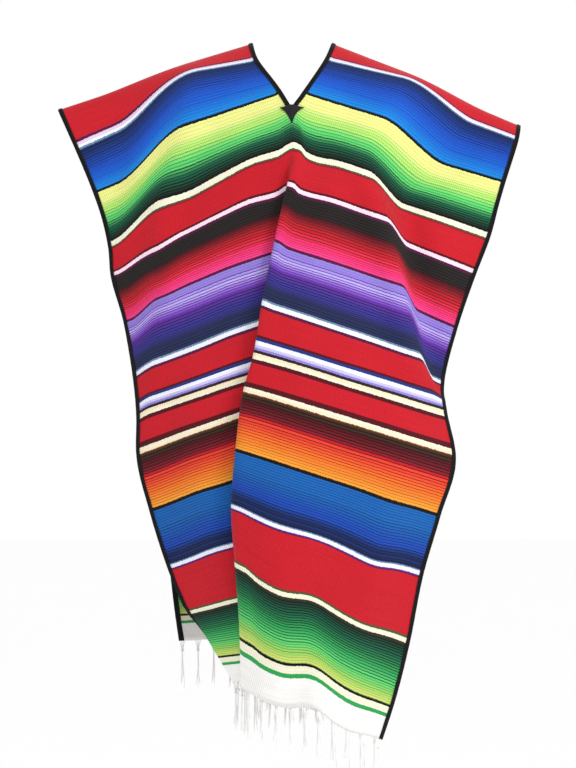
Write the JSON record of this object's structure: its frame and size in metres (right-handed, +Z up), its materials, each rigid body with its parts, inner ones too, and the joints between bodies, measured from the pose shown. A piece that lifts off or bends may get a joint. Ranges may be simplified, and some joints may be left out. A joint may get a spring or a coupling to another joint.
{
  "type": "serape poncho",
  "caption": "Striped woven serape worn as a poncho, with a bound V neck slit, taped side edges, a lapped front fold and a knotted fringe at each end.",
  "frame": {"origin": "middle of the neck slit at the height of the shoulder fold, where the wearer's shoulders hold the garment", "axes": "+Z up, +X to the right of a person who looks at the front, -Y the way the front faces"},
  "size_m": [0.7461, 0.3338, 1.1953],
  "materials": {
    "cloth": "matte striped weft-faced weave",
    "tape": "matte folded tape",
    "tack": "matte satin-stitched thread",
    "fringe": "matte twisted cotton warp"
  },
  "bodies": {
    "root": {"cloth": "cloth", "binding_left": "tape", "binding_right": "tape", "neck_tape_left": "tape", "neck_tape_right": "tape", "tack_front": "tack", "tack_back": "tack", "fringe_front": "fringe", "fringe_back": "fringe"}
  },
  "joints": []
}
